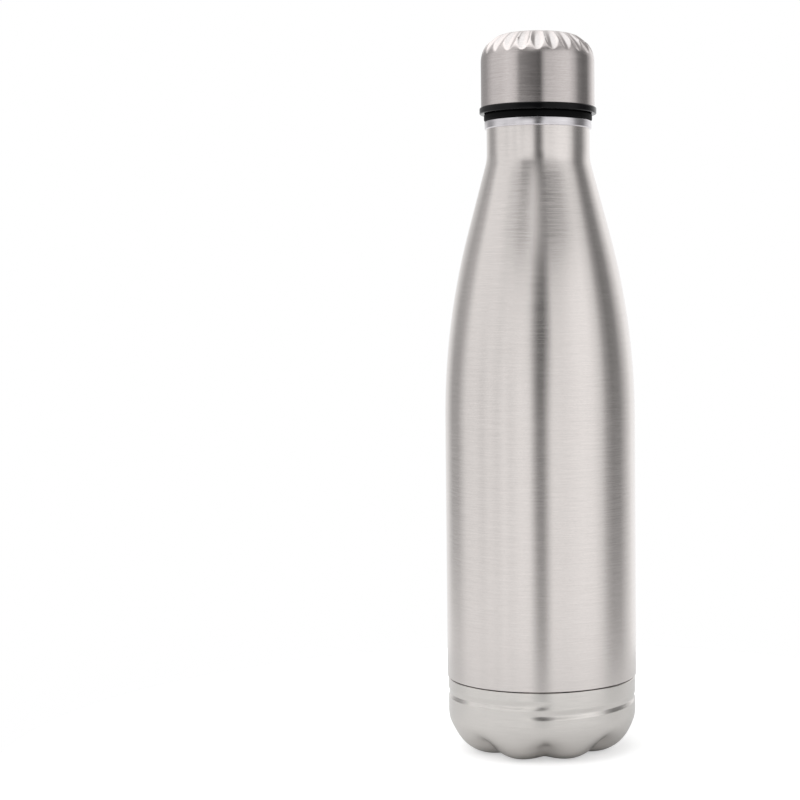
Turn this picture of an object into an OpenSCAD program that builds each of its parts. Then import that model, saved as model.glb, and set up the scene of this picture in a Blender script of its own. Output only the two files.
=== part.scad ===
// Water bottle with a hidden compartment: a double-walled flask above,
// and a dry chamber below that opens when the base cup is unscrewed.
// Millimetres. +Z is up, the origin is under the middle of the base, on the floor.

/* [Bottle] */
// Outside diameter of the straight barrel
barrel_d = 70; // [66:0.5:80]
// Length of the straight barrel above the base cup's seam
barrel_h = 94; // [86:1:130]
// Radius of the long curve from the barrel into the shoulder
belly_r = 265; // [180:5:300]
// Slope of the shoulder from the vertical, in degrees
shoulder_slope = 15; // [12:0.5:18]
// Radius of the hollow curve from the shoulder into the neck
throat_r = 18; // [15:1:45]
// Outside diameter of the neck
neck_d = 37.8; // [37:0.1:42]
// Length of the straight neck under the mouth ring
neck_h = 9.4; // [5:0.1:14]
// Sheet thickness of the outer shell
shell_wall = 0.6; // [0.4:0.05:0.8]
// Sheet thickness of the inner flask and its base
flask_wall = 0.5; // [0.4:0.05:0.8]
// Vacuum gap between the two walls
vacuum_gap = 2.6; // [2.4:0.1:3.2]

/* [Mouth] */
// Height of the visible collar of the mouth ring
collar_h = 3.1; // [2.5:0.1:5]
// How far the collar stands out from the neck
collar_lip = 0.7; // [0.3:0.1:1.2]
// Wall of the mouth ring's threaded skirt
skirt_wall = 0.75; // [0.6:0.05:0.9]
// Height of the cap's thread, from root to crest
cap_thread_depth = 1; // [0.8:0.05:1.2]
// Rise of the cap's thread in one turn
cap_lead = 4; // [3.6:0.1:5]
// Radial clearance between the two halves of the cap's thread
cap_thread_gap = 0.35; // [0.3:0.01:0.45]

/* [Cap] */
// Outside diameter of the steel cap
cap_d = 41.6; // [41.4:0.1:46]
// Height of the steel cap
cap_h = 26.6; // [24:0.1:32]
// Radius of the cap's rounded shoulder
cap_shoulder_r = 10; // [9:0.1:10.5]
// Sheet thickness of the steel cap
cap_wall = 0.5; // [0.4:0.05:0.7]
// Number of scalloped flutes round the cap's shoulder
flute_count = 23; // [18:1:24]
// Radius of the tool that forms a flute
flute_tool_r = 3.6; // [3:0.1:3.8]
// Depth of a flute at the middle of the shoulder
flute_depth = 1; // [0.6:0.05:1.1]
// Part of the quarter-round shoulder that a flute covers, in degrees
flute_span = 66; // [60:1:90]
// Thickness of the black core's flange
flange_h = 2.3; // [1.8:0.1:3.5]
// How far the black flange stands out from the steel cap
flange_lip = 0.6; // [0.5:0.1:1.8]
// Thickness of the seal under the flange
seal_h = 2.5; // [2:0.1:3.5]
// How far the seal stands out from the mouth ring's collar
seal_lip = 0.2; // [0.2:0.1:1]
// Length of the stem from the flange down to its end
stem_h = 22.5; // [20:0.1:24]
// Wall of the stem and of the core's skirt
core_wall = 1.6; // [1.2:0.1:2.2]
// How far the core's lid lies below the start of the steel cap's shoulder
core_lid_gap = 0.2; // [0.1:0.1:4]
// Thickness of the lid that closes the core
core_lid_h = 1.6; // [1.2:0.1:2]

/* [Hidden compartment] */
// Height of the compartment above the seam, up to the edge of its ceiling
chamber_h = 69; // [50:1:72]
// Rise of the domed ceiling from its edge to its flat middle
ceiling_rise = 3; // [1:0.1:4]
// Diameter of the ceiling's flat middle
ceiling_flat_d = 20; // [18:0.5:26]
// Height of the welded rim of the ceiling and of the flask's base
rim_h = 6; // [4:0.5:8]
// Diameter of the bead that seals the vacuum port
port_seal_d = 5; // [4:0.1:7]
// Thickness of the bead that seals the vacuum port
port_seal_h = 0.9; // [0.6:0.1:1.5]
// Diameter of the vacuum port
port_d = 1.6; // [1:0.1:2]
// Diameter of the getter button in the vacuum
getter_d = 5.6; // [4:0.1:6]
// Thickness of the getter button in the vacuum
getter_h = 1.4; // [1:0.1:2]
// Distance between the ceiling's middle and the flask's base
flask_clear = 3.4; // [3:0.1:6]
// Sag of the flask's dished base
flask_sag = 3; // [1:0.1:4]

/* [Threaded neck at the bottom] */
// Length of the threaded neck below the seam
sleeve_neck_h = 13.4; // [12.4:0.1:14]
// Sheet thickness of the threaded sleeve
sleeve_wall = 0.6; // [0.5:0.05:0.8]
// Height of the sleeve's welded band above the seam
sleeve_band_h = 10; // [6:0.5:16]
// Height of the base thread, from root to crest
base_thread_depth = 1.1; // [0.9:0.05:1.2]
// Rise of the base thread in one turn
base_lead = 3.6; // [3.4:0.05:3.9]
// Radial clearance between the two halves of the base thread
base_thread_gap = 0.35; // [0.3:0.01:0.45]

/* [Base cup] */
// Height of the seam above the floor
seam_z = 27.2; // [25.8:0.1:28]
// Open gap that shows as the dark seam line
seam_gap = 0.4; // [0.2:0.05:0.8]
// How far the cup lies inside the barrel's outline
cup_inset = 0.35; // [0:0.05:0.5]
// Sheet thickness of the cup
cup_wall = 0.6; // [0.5:0.05:0.7]
// Depth of the shallow groove that the rolled thread leaves outside
groove_depth = 0.5; // [0.3:0.05:0.7]
// Number of lobes that form the feet
lobe_count = 8; // [6:1:10]
// Corner radius of a lobe, seen from the side
lobe_r = 14.5; // [13:0.1:15]
// Depth of the creases between the lobes
crease_depth = 3.2; // [2:0.1:4]
// Height of the raised middle of the underside
dome_h = 4.5; // [3:0.1:5]
// Turn of the lobes from the front, in degrees
lobe_turn = 2; // [-20:1:20]
// Depth of the flat that each lobe stands on
foot_flat = 0.15; // [0.1:0.01:0.2]
// Thickness of the inner tray's sheet
tray_wall = 0.6; // [0.4:0.05:0.8]
// Depth of the inner tray below its rim
tray_depth = 3.6; // [2.5:0.1:3.6]
// Width of the tray's flat rim
tray_rim_w = 2.2; // [1.5:0.1:3]
// Thickness of the seal ring between the tray and the sleeve
base_seal_h = 2; // [1.5:0.1:2.4]
// Width of the seal ring between the tray and the sleeve
base_seal_w = 2; // [1.6:0.1:2.2]

/* [Hidden] */

// Clearance between sheets that are welded or pressed together
weld_gap = 0.05;
// Depth that a rolled or moulded thread sinks into its wall
thread_bite = 0.3;
// Smallest share of a thread's height, at its faded ends
thread_fade_end = 0.12;
// Angle over which a thread fades in and out
thread_fade = 30;
thread_steps = 48;
round_steps = 96;
// Size of the shapes that only cut
far = 200;

// The bottle's outline
barrel_r = barrel_d / 2;
neck_r = neck_d / 2;
barrel_top = seam_z + barrel_h;
belly_end_r = barrel_r - belly_r * (1 - cos(shoulder_slope));
throat_end_r = neck_r + throat_r * (1 - cos(shoulder_slope));
throat_z = barrel_top + belly_r * sin(shoulder_slope) + throat_r * sin(shoulder_slope)
    + (belly_end_r - throat_end_r) / tan(shoulder_slope);
neck_top = throat_z + neck_h;
mouth_z = neck_top + collar_h;
belly_steps = 14;
throat_steps = 6;

// The two walls and the mouth
flask_inset = shell_wall + vacuum_gap;
flask_in_inset = flask_inset + flask_wall;
skirt_r = neck_r - flask_in_inset - weld_gap;
mouth_r = skirt_r - skirt_wall;
mouth_crest_r = mouth_r - cap_thread_depth;
stem_crest_r = mouth_r - cap_thread_gap;
stem_r = stem_crest_r - cap_thread_depth;
collar_r = neck_r + collar_lip;
collar_round = 0.5;
mouth_chamfer = 0.6;

// The cap
seal_r = collar_r + seal_lip;
seal_in_r = stem_r + 0.25;
seal_round = 0.6;
flange_z = mouth_z + seal_h;
cap_z = flange_z + flange_h;
cap_r = cap_d / 2;
cap_top = cap_z + cap_h;
flange_r = cap_r + flange_lip;
flange_round = 0.4;
stem_end = flange_z - stem_h;
stem_chamfer = 1;
core_r = cap_r - cap_wall - weld_gap;
stem_bore_r = stem_r - core_wall;
cap_arc_r = cap_r - cap_shoulder_r;
cap_arc_z = cap_top - cap_shoulder_r;
cap_arc_steps = 12;
core_top = cap_arc_z - core_lid_gap - core_lid_h;
// A flute is deepest half way round the shoulder, and its path meets the shoulder at both its ends
flute_shift = flute_depth * (2 * cap_shoulder_r - flute_depth)
    / (2 * (cap_shoulder_r * (1 - cos(flute_span / 2)) - flute_depth));
flute_path_r = cap_shoulder_r - flute_depth + flute_shift;
flute_sweep = 2 * asin(cap_shoulder_r * sin(flute_span / 2) / flute_path_r) + 8;

// The cap's thread runs in the middle of the mouth ring's skirt
skirt_h = 18;
skirt_z = neck_top - skirt_h;
mouth_turns = 1.5;
mouth_thread_z = skirt_z + 6;
stem_turns = 1.75;
stem_thread_z = mouth_thread_z - cap_lead / 2;

// The compartment
ceiling_z = seam_z + chamber_h;
ceiling_r = barrel_r - shell_wall - weld_gap;
ceiling_flat_z = ceiling_z + ceiling_rise;
flask_low_z = ceiling_flat_z + shell_wall + flask_clear;
flask_end_z = flask_low_z + flask_sag;
flask_base_r = barrel_r - flask_in_inset - weld_gap;
dish_steps = 8;

// The sleeve and its thread
cup_r = barrel_r - cup_inset;
cup_in_r = cup_r - cup_wall;
sleeve_crest_r = cup_in_r - base_thread_gap;
sleeve_r = sleeve_crest_r - base_thread_depth;
sleeve_in_r = sleeve_r - sleeve_wall;
sleeve_end = seam_z - sleeve_neck_h;
sleeve_curl = 0.5;
joggle_h = 1.6;
bead_crest_r = sleeve_r + base_thread_gap;
bead_front_z = seam_z - 8.6;
bead_turns = 1.03;
sleeve_turns = 2;
ridge_start_turn = -0.25;

// The cup
cup_lip_z = seam_z - seam_gap;
join_step = 0.05;
join_depth = 0.6;
bowl_r = cup_r - join_step;
bowl_wall = cup_wall - 2 * join_step;
bowl_tongue_h = 1.5;
lobe_z = lobe_r - foot_flat;
foot_r = bowl_r - lobe_r;
crease_start = 7;
crease_full = 46;
crease_under = 0.4;
lobe_steps = 10;
arc_rows = 10;
dome_rows = 6;

// The tray hangs in the cup by its rim, and the seal lies on that rim
seal_top_z = sleeve_end;
tray_z = seal_top_z - base_seal_h;
base_seal_mid_r = sleeve_r - sleeve_wall / 2;
tray_r = cup_in_r - 0.95;
tray_in_r = tray_r - tray_rim_w;
tray_floor_r = tray_in_r - 1.3 * tray_depth;

// Points of an arc about [centre_r, centre_z] from angle_a to angle_b
function arc(centre_r, centre_z, r, angle_a, angle_b, steps) = [
    for (i = [0:steps]) let (a = angle_a + (angle_b - angle_a) * i / steps)
        [centre_r + r * cos(a), centre_z + r * sin(a)]
];

function reversed(points) = [for (i = [len(points) - 1:-1:0]) points[i]];

// The bottle's outline from the barrel up to the neck's top, moved inwards by an inset
function bottle_line(inset, low_z) = concat(
    [[barrel_r - inset, low_z]],
    arc(barrel_r - belly_r, barrel_top, belly_r - inset, 0, shoulder_slope, belly_steps),
    arc(neck_r + throat_r, throat_z, throat_r + inset, 180 + shoulder_slope, 180, throat_steps),
    [[neck_r - inset, neck_top]]
);

// A dished disc's line from the middle out to its edge, as an arc that rises by rise
function dish_line(flat_r, edge_r, edge_z, rise) =
    let (
        run = edge_r - flat_r,
        r = (run * run + rise * rise) / (2 * abs(rise)),
        sweep = asin(run / r),
        up = rise > 0 ? 1 : -1
    )
    [
        for (i = [0:dish_steps]) let (a = sweep * i / dish_steps)
            [flat_r + r * sin(a), edge_z + rise - up * r * (1 - cos(a))]
    ];

function raised(points, dz) = [for (p = points) [p[0], p[1] + dz]];

module turned(points) {
    rotate_extrude($fn = round_steps) polygon(points);
}

// A thread's ridge: a tapered band that winds upwards, and fades out at both ends.
// crest_r is larger than root_r for a ridge outside a tube, and smaller for one inside.
module thread_ridge(root_r, crest_r, root_w, crest_w, lead, turns, start_turn, start_z) {
    count = ceil(turns * thread_steps);
    fade_steps = thread_fade / 360 * thread_steps;
    sides = 4;
    rings = [
        for (i = [0:count])
            let (
                turn = turns * i / count,
                a = 360 * (start_turn + turn),
                z = start_z + lead * turn,
                share = max(thread_fade_end, min(1, i / fade_steps, (count - i) / fade_steps)),
                r = root_r + (crest_r - root_r) * share,
                w = root_w + (crest_w - root_w) * share
            )
            for (corner = [[root_r, -root_w], [r, -w], [r, w], [root_r, root_w]])
                [corner[0] * cos(a), corner[0] * sin(a), z + corner[1] / 2]
    ];
    walls = [
        for (i = [0:count - 1]) for (j = [0:sides - 1])
            let (
                a = i * sides + j,
                b = i * sides + (j + 1) % sides
            )
            each [[a, b, b + sides], [a, b + sides, a + sides]]
    ];
    last = count * sides;
    ends = [[0, 2, 1], [0, 3, 2], [last, last + 1, last + 2], [last, last + 2, last + 3]];
    outside = crest_r > root_r;
    faces = [for (f = concat(walls, ends)) outside ? f : reversed(f)];
    polyhedron(points = rings, faces = faces, convexity = 8);
}

module outer_shell() {
    color([0.80, 0.79, 0.78])
        turned(concat(bottle_line(0, seam_z), reversed(bottle_line(shell_wall, seam_z))));
}

module mouth_ring() {
    color([0.82, 0.81, 0.80]) {
        turned(concat(
            [[mouth_r, skirt_z], [skirt_r, skirt_z], [skirt_r, neck_top]],
            arc(collar_r - collar_round, neck_top + collar_round, collar_round, -90, 0, 4),
            arc(collar_r - collar_round, mouth_z - collar_round, collar_round, 0, 90, 4),
            [[mouth_r + mouth_chamfer, mouth_z], [mouth_r, mouth_z - mouth_chamfer]]
        ));
        thread_ridge(mouth_r + thread_bite, mouth_crest_r, 2, 0.8, cap_lead, mouth_turns, 0, mouth_thread_z);
    }
}

module inner_flask() {
    color([0.76, 0.76, 0.76])
        turned(concat(
            bottle_line(flask_inset, flask_end_z),
            reversed(bottle_line(flask_in_inset, flask_end_z))
        ));
}

// The flask's dished base, with a rim that is welded inside the flask's wall
module flask_base() {
    under = dish_line(0, flask_base_r, flask_end_z, -flask_sag);
    over = raised(dish_line(0, flask_base_r - flask_wall, flask_end_z, -flask_sag), flask_wall);
    color([0.74, 0.74, 0.75])
        turned(concat(
            under,
            [[flask_base_r, flask_end_z + rim_h], [flask_base_r - flask_wall, flask_end_z + rim_h]],
            reversed(over)
        ));
}

// The compartment's domed ceiling, which also closes the vacuum space
module bulkhead() {
    over = raised(dish_line(ceiling_flat_d / 2, ceiling_r, ceiling_z, ceiling_rise), shell_wall);
    under = dish_line(ceiling_flat_d / 2, ceiling_r - shell_wall, ceiling_z, ceiling_rise);
    color([0.72, 0.72, 0.73])
        turned(concat(
            [[port_d / 2, ceiling_flat_z]],
            under,
            [[ceiling_r - shell_wall, ceiling_z - rim_h], [ceiling_r, ceiling_z - rim_h]],
            reversed(over),
            [[port_d / 2, ceiling_flat_z + shell_wall]]
        ));
}

module vacuum_port_seal() {
    color([0.35, 0.35, 0.37])
        translate([0, 0, ceiling_flat_z - port_seal_h])
            cylinder(d = port_seal_d, h = port_seal_h, $fn = round_steps);
}

module getter() {
    color([0.45, 0.44, 0.42])
        translate([(ceiling_flat_d + port_d) / 4, 0, ceiling_flat_z + shell_wall])
            cylinder(d = getter_d, h = getter_h, $fn = round_steps);
}

// The rolled sleeve: a band welded inside the shell, and below the seam a threaded neck
module thread_sleeve() {
    band_r = barrel_r - shell_wall - weld_gap;
    color([0.84, 0.83, 0.84]) {
        turned([
            [band_r, seam_z + sleeve_band_h],
            [band_r - sleeve_wall, seam_z + sleeve_band_h],
            [band_r - sleeve_wall, seam_z + joggle_h],
            [sleeve_in_r, seam_z - joggle_h / 4],
            [sleeve_in_r, sleeve_end + 2 * sleeve_curl],
            [sleeve_in_r - sleeve_curl, sleeve_end + sleeve_curl],
            [sleeve_in_r - sleeve_curl, sleeve_end],
            [sleeve_r - sleeve_curl / 2, sleeve_end],
            [sleeve_r, sleeve_end + sleeve_curl],
            [sleeve_r, seam_z - joggle_h / 4],
            [band_r, seam_z + joggle_h]
        ]);
        thread_ridge(
            sleeve_r - thread_bite, sleeve_crest_r, 1.7, 0.7, base_lead, sleeve_turns,
            ridge_start_turn - 0.25, bead_front_z - base_lead / 2 + base_lead * ridge_start_turn
        );
    }
}

// The solid that the cap is pressed to, moved inwards by an inset
module cap_form(inset, low_z) {
    difference() {
        turned(concat(
            [[0, low_z], [cap_r - inset, low_z]],
            arc(cap_arc_r, cap_arc_z, cap_shoulder_r - inset, 0, 90, cap_arc_steps),
            [[0, cap_top - inset]]
        ));
        for (i = [0:flute_count - 1])
            rotate([0, 0, 360 * i / flute_count - 90])
                flute_cutter(inset);
    }
}

// One flute: part of a ring that dips into the cap's rounded shoulder
module flute_cutter(inset) {
    shift = flute_shift * sqrt(0.5);
    translate([cap_arc_r - shift, 0, cap_arc_z - shift])
        rotate([90, 0, 0])
            rotate([0, 0, 45 - flute_sweep / 2])
                rotate_extrude(angle = flute_sweep, $fn = 3 * round_steps)
                    translate([flute_path_r + flute_tool_r, 0])
                        circle(r = flute_tool_r + inset, $fn = 32);
}

module cap_shell() {
    color([0.78, 0.77, 0.77])
        difference() {
            cap_form(0, cap_z);
            cap_form(cap_wall, cap_z - 1);
        }
}

// The black core: a flange, a skirt that fills the steel cap, and a closed, threaded stem
module cap_core() {
    skirt_in_r = core_r - core_wall;
    color([0.06, 0.06, 0.07]) {
        turned(concat(
            [
                [0, stem_end],
                [stem_r - stem_chamfer, stem_end],
                [stem_r, stem_end + stem_chamfer],
                [stem_r, flange_z]
            ],
            arc(flange_r - flange_round, flange_z + flange_round, flange_round, -90, 0, 4),
            arc(flange_r - flange_round, cap_z - flange_round, flange_round, 0, 90, 4),
            [
                [core_r, cap_z],
                [core_r, core_top],
                [skirt_in_r, core_top],
                [skirt_in_r, cap_z],
                [stem_r, cap_z],
                [stem_r, core_top],
                [stem_bore_r, core_top],
                [stem_bore_r, stem_end + core_wall],
                [0, stem_end + core_wall]
            ]
        ));
        thread_ridge(
            stem_r - thread_bite, stem_crest_r, 1.9, 0.8, cap_lead, stem_turns, 0, stem_thread_z
        );
    }
}

module cap_foam() {
    foam_z = stem_end + core_wall;
    color([0.93, 0.92, 0.88])
        translate([0, 0, foam_z])
            cylinder(r = stem_bore_r - 2 * weld_gap, h = core_top - foam_z, $fn = round_steps);
}

module core_lid() {
    color([0.10, 0.10, 0.11])
        translate([0, 0, core_top])
            cylinder(r = core_r - weld_gap, h = core_lid_h, $fn = round_steps);
}

module cap_seal() {
    color([0.03, 0.03, 0.03])
        turned(concat(
            [[seal_in_r, mouth_z]],
            arc(seal_r - seal_round, mouth_z + seal_round, seal_round, -90, 0, 4),
            arc(seal_r - seal_round, flange_z - seal_round, seal_round, 0, 90, 4),
            [[seal_in_r, flange_z]]
        ));
}

// How far a point between two lobes lies behind the lobes' crowns, from 0 to 1
function crease_share(angle) = 1 - abs(sin((angle + 90 - lobe_turn) * lobe_count / 2));

function eased(t) = let (c = max(0, min(1, t))) c * c * (3 - 2 * c);

// The creases' share of their full depth at an angle down the lobes' corner: they are deepest half way
// down, and run out to a part of that under the feet
function crease_rise(a) = eased((a - crease_start) / (crease_full - crease_start))
    - (1 - crease_under) * eased((a - crease_full) / (90 - crease_full));

// The bowl's rows from its rim to its middle, each as [r, z, inward r, inward z, crease depth]
function bowl_rows(inset) = concat(
    [[bowl_r - inset, lobe_z + bowl_tongue_h, 0, 0, 0]],
    [
        for (i = [0:arc_rows])
            let (
                a = 90 * i / arc_rows,
                r = lobe_r - inset
            )
            [
                foot_r + r * cos(a), lobe_z - r * sin(a), -cos(a), sin(a),
                crease_depth * crease_rise(a)
            ]
    ],
    [
        for (i = [1:dome_rows - 1])
            let (t = i / dome_rows)
            [
                foot_r * (1 - t), lobe_z - lobe_r + inset + (dome_h + foot_flat) * eased(t), 0, 1,
                crease_depth * crease_under * (1 - t) * (1 - t)
            ]
    ]
);

function bowl_points(inset) = [
    for (row = bowl_rows(inset))
        for (i = [0:lobe_count * lobe_steps - 1])
            let (
                a = 360 * i / (lobe_count * lobe_steps) - 90 + lobe_turn,
                d = row[4] * crease_share(a),
                r = row[0] + row[2] * d
            )
            [r * cos(a), r * sin(a), row[1] + row[3] * d]
];

// The lobed bowl at the bottom of the cup, as a closed shell of even thickness
module bowl() {
    columns = lobe_count * lobe_steps;
    rows = arc_rows + dome_rows + 1;
    outer = bowl_points(0);
    inner = bowl_points(bowl_wall);
    middle_z = dome_h;
    skin = columns * rows;
    points = concat(outer, [[0, 0, middle_z]], inner, [[0, 0, middle_z + bowl_wall]]);
    grid = [
        for (row = [0:rows - 2]) for (i = [0:columns - 1])
            let (
                a = row * columns + i,
                b = row * columns + (i + 1) % columns
            )
            each [[a, b, b + columns], [a, b + columns, a + columns]]
    ];
    crown = [
        for (i = [0:columns - 1])
            [(rows - 1) * columns + i, (rows - 1) * columns + (i + 1) % columns, skin]
    ];
    skin_faces = concat(grid, crown);
    inner_faces = [for (f = skin_faces) [for (i = reversed(f)) i + skin + 1]];
    rim_faces = [
        for (i = [0:columns - 1])
            let (
                next = (i + 1) % columns,
                lift = skin + 1
            )
            each [[i, i + lift, next + lift], [i, next + lift, next]]
    ];
    intersection() {
        polyhedron(points = points, faces = concat(skin_faces, inner_faces, rim_faces), convexity = 6);
        translate([-far / 2, -far / 2, 0]) cube(far);
    }
}

// The screw-off base: a rolled lip with its thread, above the lobed bowl
module base_cup() {
    color([0.83, 0.82, 0.80])
        difference() {
            union() {
                turned([
                    [cup_in_r, lobe_z - join_depth],
                    [cup_r, lobe_z - join_depth],
                    [cup_r, cup_lip_z],
                    [cup_in_r, cup_lip_z]
                ]);
                bowl();
                thread_ridge(
                    cup_in_r + thread_bite, bead_crest_r, 2.8, 1.2, base_lead, bead_turns, -0.25, bead_front_z
                );
            }
            thread_ridge(
                cup_r + thread_bite, cup_r - groove_depth, 2.8, 1, base_lead, bead_turns, -0.25, bead_front_z
            );
        }
}

module base_tray() {
    color([0.78, 0.78, 0.78])
        turned([
            [0, tray_z - tray_depth - tray_wall],
            [tray_floor_r, tray_z - tray_depth - tray_wall],
            [tray_in_r, tray_z - tray_wall],
            [tray_r, tray_z - tray_wall],
            [tray_r, tray_z],
            [tray_in_r - tray_wall / 3, tray_z],
            [tray_floor_r - tray_wall / 3, tray_z - tray_depth],
            [0, tray_z - tray_depth]
        ]);
}

module base_seal() {
    color([0.07, 0.07, 0.07])
        translate([0, 0, tray_z])
            difference() {
                cylinder(r = base_seal_mid_r + base_seal_w / 2, h = base_seal_h, $fn = round_steps);
                translate([0, 0, -1])
                    cylinder(r = base_seal_mid_r - base_seal_w / 2, h = base_seal_h + 2, $fn = round_steps);
            }
}

outer_shell();
mouth_ring();
inner_flask();
flask_base();
bulkhead();
vacuum_port_seal();
getter();
thread_sleeve();
cap_shell();
cap_core();
cap_foam();
core_lid();
cap_seal();
base_cup();
base_tray();
base_seal();
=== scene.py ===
# %% [markdown]
# # A steel water bottle with a hidden compartment
#
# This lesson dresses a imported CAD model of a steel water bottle. The bottle looks like one piece, but its
# lobed base is a screw-off cup, and the space above it is a dry compartment.
#
# Most pieces are thin sheet metal that was formed round one axis, so most of the lesson is about turning an
# outline, and about pressing flutes, threads and lobes into the turned sheet.

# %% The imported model
import math

import bpy
import numpy as np
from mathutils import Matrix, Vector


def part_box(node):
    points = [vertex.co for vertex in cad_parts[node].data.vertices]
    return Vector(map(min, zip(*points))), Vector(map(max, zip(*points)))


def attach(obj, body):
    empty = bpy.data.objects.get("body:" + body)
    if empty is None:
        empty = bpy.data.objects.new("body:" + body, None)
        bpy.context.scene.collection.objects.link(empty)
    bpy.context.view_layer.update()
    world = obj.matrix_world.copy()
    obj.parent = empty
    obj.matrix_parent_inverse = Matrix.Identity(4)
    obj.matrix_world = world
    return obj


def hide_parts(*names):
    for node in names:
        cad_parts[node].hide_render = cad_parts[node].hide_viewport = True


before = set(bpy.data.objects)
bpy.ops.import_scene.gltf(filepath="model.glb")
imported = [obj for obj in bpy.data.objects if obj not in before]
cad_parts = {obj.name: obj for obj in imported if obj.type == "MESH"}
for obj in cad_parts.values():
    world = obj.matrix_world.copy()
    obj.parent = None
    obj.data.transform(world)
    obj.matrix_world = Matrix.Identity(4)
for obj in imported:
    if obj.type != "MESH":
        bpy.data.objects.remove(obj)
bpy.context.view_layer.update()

# %% [markdown]
# ## Sizes
#
# The real bottle is 70 mm across and stands about 262 mm tall with its cap on. The places of the pieces
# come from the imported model, so a piece always sits where its CAD solid sits. Thin details are given in
# millimetres.

# %% Sizes
MM = 0.001

shell_low, shell_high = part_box("outer_shell")
cap_low, cap_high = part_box("cap_shell")
core_low, core_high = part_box("cap_core")
seal_low, seal_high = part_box("cap_seal")
ring_low, ring_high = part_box("mouth_ring")
sleeve_low, sleeve_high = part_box("thread_sleeve")
cup_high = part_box("base_cup")[1]

barrel_r = shell_high.x
seam_z = shell_low.z
neck_top = shell_high.z
mouth_z = ring_high.z
flange_z = seal_high.z
cap_z = cap_low.z
cap_r = cap_high.x
cap_top = cap_high.z
print(f"barrel {2000 * barrel_r:.1f} mm across, top of the cap at {1000 * cap_top:.1f} mm")

# %% [markdown]
# ## Camera
#
# The camera stands 670 mm in front of the bottle, a little above its middle, and has a short portrait lens.
# The bottle stands right of the middle of the picture, so the lens is shifted sideways, and a small tilt
# down brings the whole height into the frame. The picture was taken a fraction of a degree off level.

# %% Camera
LENS_MM = 81.76
SENSOR_MM = 36
LENS_SHIFT = -0.175
CAMERA_AT = (0.0, -670 * MM, 163.5 * MM)
TILT_DOWN = math.radians(2.96)
ROLL = math.radians(0.41)

bpy.ops.object.camera_add(location=CAMERA_AT)
camera = bpy.context.object
camera.name = "camera"
camera.data.lens = LENS_MM
camera.data.sensor_width = SENSOR_MM
camera.data.shift_x = LENS_SHIFT
camera.rotation_mode = "ZXY"
camera.rotation_euler = (math.pi / 2 - TILT_DOWN, 0, -ROLL)
bpy.context.scene.camera = camera
bpy.context.scene.view_settings.view_transform = "Standard"
print(f"the camera looks through a lens of {LENS_MM} mm")

# %% [markdown]
# ## Tools for edit mode
#
# Every operator acts on what is selected, so each piece starts with nothing selected. Points, edges and
# faces are then picked by their place, with a rule that is given their coordinates.

# %% Selecting
def start_clean():
    """Leaves edit mode, and leaves nothing selected."""
    if bpy.context.object and bpy.context.object.mode != "OBJECT":
        bpy.ops.object.mode_set(mode="OBJECT")
    bpy.ops.object.select_all(action="DESELECT")


def choose(piece):
    """Leaves one piece selected and active, and nothing else."""
    start_clean()
    piece.select_set(True)
    bpy.context.view_layer.objects.active = piece


def edit(piece):
    """Goes into edit mode on one piece, with nothing in it selected."""
    choose(piece)
    bpy.ops.object.mode_set(mode="EDIT")
    bpy.ops.mesh.select_all(action="DESELECT")


def pick_points(piece, rule):
    """Selects the points whose place passes the rule, and goes back to edit mode."""
    bpy.ops.object.mode_set(mode="OBJECT")
    for point in piece.data.vertices:
        point.select = bool(rule(point.co))
    for edge in piece.data.edges:
        edge.select = all(piece.data.vertices[i].select for i in edge.vertices)
    for face in piece.data.polygons:
        face.select = all(piece.data.vertices[i].select for i in face.vertices)
    bpy.ops.object.mode_set(mode="EDIT")


# %% [markdown]
# ## Turning an outline
#
# A lathe part is drawn as half of its section, as points of (radius, height), and is then spun round the Z
# axis. The outline starts as a plane that is merged into one point, and that point is extruded from place to
# place, as it is done by hand. A Screw modifier could turn the outline too, but a spin leaves a mesh that
# the next steps can press and roll at once.

# %% Outlines
STEPS_SMALL = 64
STEPS_ROUND = 192
STEPS_FINE = 256
MERGE_GAP = 0.002 * MM


def arc(centre_r, centre_z, radius, start, end, steps):
    """Points of (radius, height) along an arc; the angles are in degrees, from straight outwards."""
    turns = [math.radians(start + (end - start) * i / steps) for i in range(steps + 1)]
    return [(centre_r + radius * math.cos(t), centre_z + radius * math.sin(t)) for t in turns]


def rim(outer_r, low_z, high_z, edge_r, steps=8):
    """The outer side of a ring, from its foot up, with both its edges rounded."""
    return (
        arc(outer_r - edge_r, low_z + edge_r, edge_r, -90, 0, steps)
        + arc(outer_r - edge_r, high_z - edge_r, edge_r, 0, 90, steps)
    )


def draw(name, outline):
    """Draws the outline by extruding one point from place to place."""
    start_clean()
    bpy.ops.mesh.primitive_plane_add(size=MM)
    piece = bpy.context.object
    piece.name = piece.data.name = name
    bpy.ops.object.mode_set(mode="EDIT")
    bpy.ops.mesh.merge(type="CENTER")
    bpy.ops.transform.translate(value=(outline[0][0], 0, outline[0][1]))
    for (r0, z0), (r1, z1) in zip(outline, outline[1:]):
        bpy.ops.mesh.extrude_vertices_move(TRANSFORM_OT_translate={"value": (r1 - r0, 0, z1 - z0)})
    return piece


def spin(piece, steps):
    """Spins what the piece holds once round the Z axis, and closes its seam and its poles."""
    edit(piece)
    bpy.ops.mesh.select_all(action="SELECT")
    bpy.ops.mesh.spin(steps=steps, angle=math.tau, center=(0, 0, 0), axis=(0, 0, 1))
    bpy.ops.mesh.select_all(action="SELECT")
    bpy.ops.mesh.remove_doubles(threshold=MERGE_GAP)
    bpy.ops.mesh.normals_make_consistent(inside=False)
    bpy.ops.object.mode_set(mode="OBJECT")


def smooth(piece, sharp_angle=35):
    """Shades the piece smooth, except across edges that are sharper than the angle."""
    choose(piece)
    bpy.ops.object.shade_smooth_by_angle(angle=math.radians(sharp_angle))


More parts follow.
